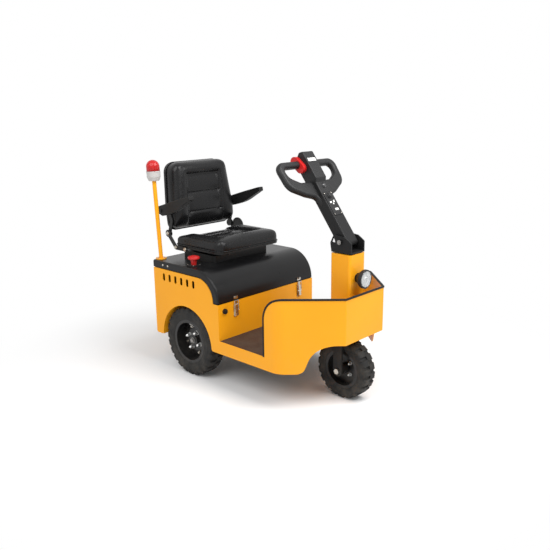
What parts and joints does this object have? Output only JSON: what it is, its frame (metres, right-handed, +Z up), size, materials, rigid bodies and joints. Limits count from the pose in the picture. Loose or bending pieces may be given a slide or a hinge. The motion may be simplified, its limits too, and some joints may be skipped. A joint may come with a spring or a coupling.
{
  "type": "electric tow tractor",
  "caption": "Three-wheel seated electric tow tractor with sheet-metal body, tiller steering, hinged battery lid, adjustable seat, beacon and rear tow jaw.",
  "frame": {"origin": "centre of the bounding box on the ground", "axes": "+X forward, +Y to the left, +Z up"},
  "size_m": [1.474, 0.796, 1.3112],
  "materials": {
    "yellow_paint": "gloss powder coat",
    "frame_paint": "satin black",
    "motor_paint": "satin black",
    "mat_rubber": "matt",
    "battery_case": "matt",
    "lid_paint": "satin black",
    "bare_steel": "bright zinc",
    "fork_paint": "satin black",
    "black_plastic": "moulded, matt",
    "red_plastic": "gloss",
    "lamp_glass": "clear",
    "seat_steel": "satin black",
    "seat_vinyl": "gloss vinyl",
    "seat_shell": "moulded, matt",
    "armrest_foam": "skinned foam",
    "beacon_white": "gloss",
    "beacon_red": "translucent gloss",
    "tyre": "black rubber",
    "rim_paint": "gloss black"
  },
  "bodies": {
    "chassis": {"side_panel_right": "yellow_paint", "side_panel_left": "yellow_paint", "wheel_well_right": "yellow_paint", "wheel_well_left": "yellow_paint", "cowl_front": "yellow_paint", "cowl_deck": "yellow_paint", "rear_panel": "yellow_paint", "box_front_panel": "yellow_paint", "floor_plate": "frame_paint", "floor_mat": "mat_rubber", "chassis_frame": "frame_paint", "battery_shelf": "frame_paint", "battery_pack": "battery_case", "rear_axle": "frame_paint", "drive_motor": "motor_paint", "tow_hitch": "frame_paint", "lid_hinges": "bare_steel", "steering_column": "yellow_paint", "headlamp_housing": "black_plastic", "headlamp_lens": "lamp_glass", "key_switch": "black_plastic", "lid_latches": "bare_steel"},
    "lid": {"hood": "lid_paint", "lid_knuckles": "bare_steel", "latch_strikes": "bare_steel", "seat_base": "seat_steel", "seat_rails": "seat_steel", "beacon_pole": "yellow_paint", "beacon_cup": "beacon_white", "beacon_dome": "beacon_red", "estop_base": "black_plastic", "estop_button": "red_plastic"},
    "seat": {"seat_pan": "seat_steel", "seat_cushion": "seat_vinyl", "recliner_brackets": "seat_steel"},
    "backrest": {"backrest_shell": "seat_shell", "backrest_cushion": "seat_vinyl", "backrest_arms": "seat_steel"},
    "armrest_right": {"armrest_right": "armrest_foam"},
    "armrest_left": {"armrest_left": "armrest_foam"},
    "steering": {"steering_fork": "fork_paint", "front_axle": "bare_steel", "tiller_bracket": "fork_paint"},
    "tiller": {"tiller_arm": "fork_paint", "tiller_head": "black_plastic", "throttle_paddles": "red_plastic", "control_panel": "black_plastic"},
    "front_wheel": {"front_tyre": "tyre", "front_rim": "rim_paint"},
    "rear_wheel_right": {"rear_tyre_right": "tyre", "rear_rim_right": "rim_paint"},
    "rear_wheel_left": {"rear_tyre_left": "tyre", "rear_rim_left": "rim_paint"}
  },
  "joints": [
    {"name": "rear_wheel_right_spin", "type": "hinge", "parent": "chassis", "child": "rear_wheel_right", "pos_m": [-0.2935, -0.3345, 0.205], "axis": [0, 1, 0], "continuous": true},
    {"name": "rear_wheel_left_spin", "type": "hinge", "parent": "chassis", "child": "rear_wheel_left", "pos_m": [-0.2935, 0.3345, 0.205], "axis": [0, 1, 0], "continuous": true},
    {"name": "steering_turn", "type": "hinge", "parent": "chassis", "child": "steering", "pos_m": [0.573, 0, 0.5], "axis": [0, 0, 1], "range_deg": [-60, 60]},
    {"name": "front_wheel_spin", "type": "hinge", "parent": "steering", "child": "front_wheel", "pos_m": [0.573, 0, 0.164], "axis": [0, 1, 0], "continuous": true},
    {"name": "tiller_tilt", "type": "hinge", "parent": "steering", "child": "tiller", "pos_m": [0.567, 0, 0.866], "axis": [0, 1, 0], "range_deg": [-16, 36]},
    {"name": "lid_open", "type": "hinge", "parent": "chassis", "child": "lid", "pos_m": [-0.586, 0, 0.6175], "axis": [0, -1, 0], "range_deg": [0, 60]},
    {"name": "seat_slide", "type": "slide", "parent": "lid", "child": "seat", "axis": [1, 0, 0], "range_m": [-0.06, 0.06]},
    {"name": "backrest_recline", "type": "hinge", "parent": "seat", "child": "backrest", "pos_m": [-0.602, 0, 0.795], "axis": [0, 1, 0], "range_deg": [-15, 40]},
    {"name": "armrest_right_fold", "type": "hinge", "parent": "backrest", "child": "armrest_right", "pos_m": [-0.605, -0.285, 0.938], "axis": [0, -1, 0], "range_deg": [0, 95]},
    {"name": "armrest_left_fold", "type": "hinge", "parent": "backrest", "child": "armrest_left", "pos_m": [-0.605, 0.285, 0.938], "axis": [0, -1, 0], "range_deg": [0, 95]}
  ]
}
